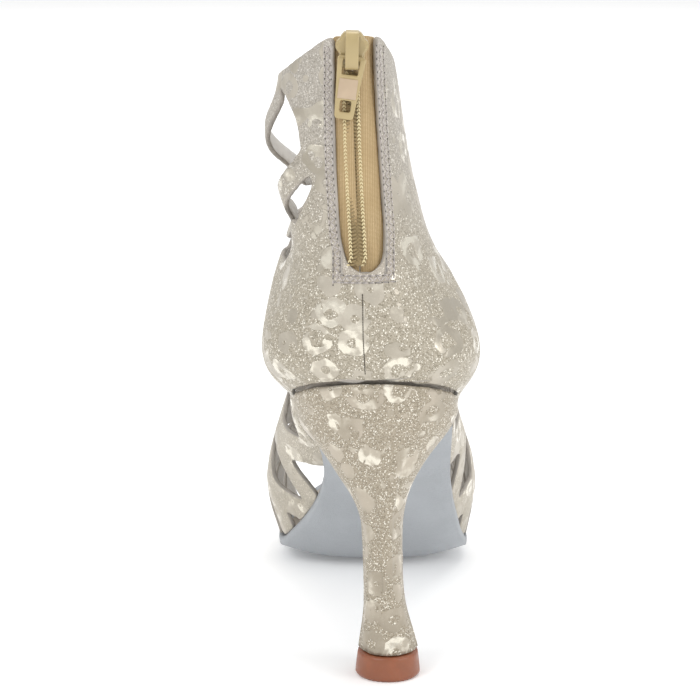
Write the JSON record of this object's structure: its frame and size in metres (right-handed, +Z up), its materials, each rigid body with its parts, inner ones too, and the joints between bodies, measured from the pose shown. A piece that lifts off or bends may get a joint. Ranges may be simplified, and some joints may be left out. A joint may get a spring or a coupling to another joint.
{
  "type": "ballroom dance shoe",
  "caption": "Right ballroom dance shoe: open toe, crossed straps over the front, back panel with a zip, slim flared heel.",
  "frame": {"origin": "centre of the heel's floor face", "axes": "+Z up, +Y towards the toe, +X towards the outer side of the foot"},
  "size_m": [0.0759, 0.2114, 0.1967],
  "materials": {
    "fabric": "satin with a glitter print",
    "heel_cover": "satin with a glitter print",
    "suede": "suede",
    "lining": "soft",
    "tip": "satin",
    "tape": "woven",
    "chain": "coil",
    "metal": "enamel"
  },
  "bodies": {
    "shoe": {"upper": "fabric", "heel": "heel_cover", "outsole": "suede", "insole": "lining", "top_piece": "tip", "zip_tape_medial": "tape", "zip_tape_lateral": "tape", "zip_chain": "chain", "zip_slider": "metal"},
    "pull_tab": {"pull_tab": "metal"}
  },
  "joints": [
    {"name": "tab_swing", "type": "hinge", "parent": "shoe", "child": "pull_tab", "pos_m": [-0.01106, -0.01308, 0.18822], "axis": [-0.9903, -0.0222, 0.1374], "range_deg": [0, 120]}
  ]
}
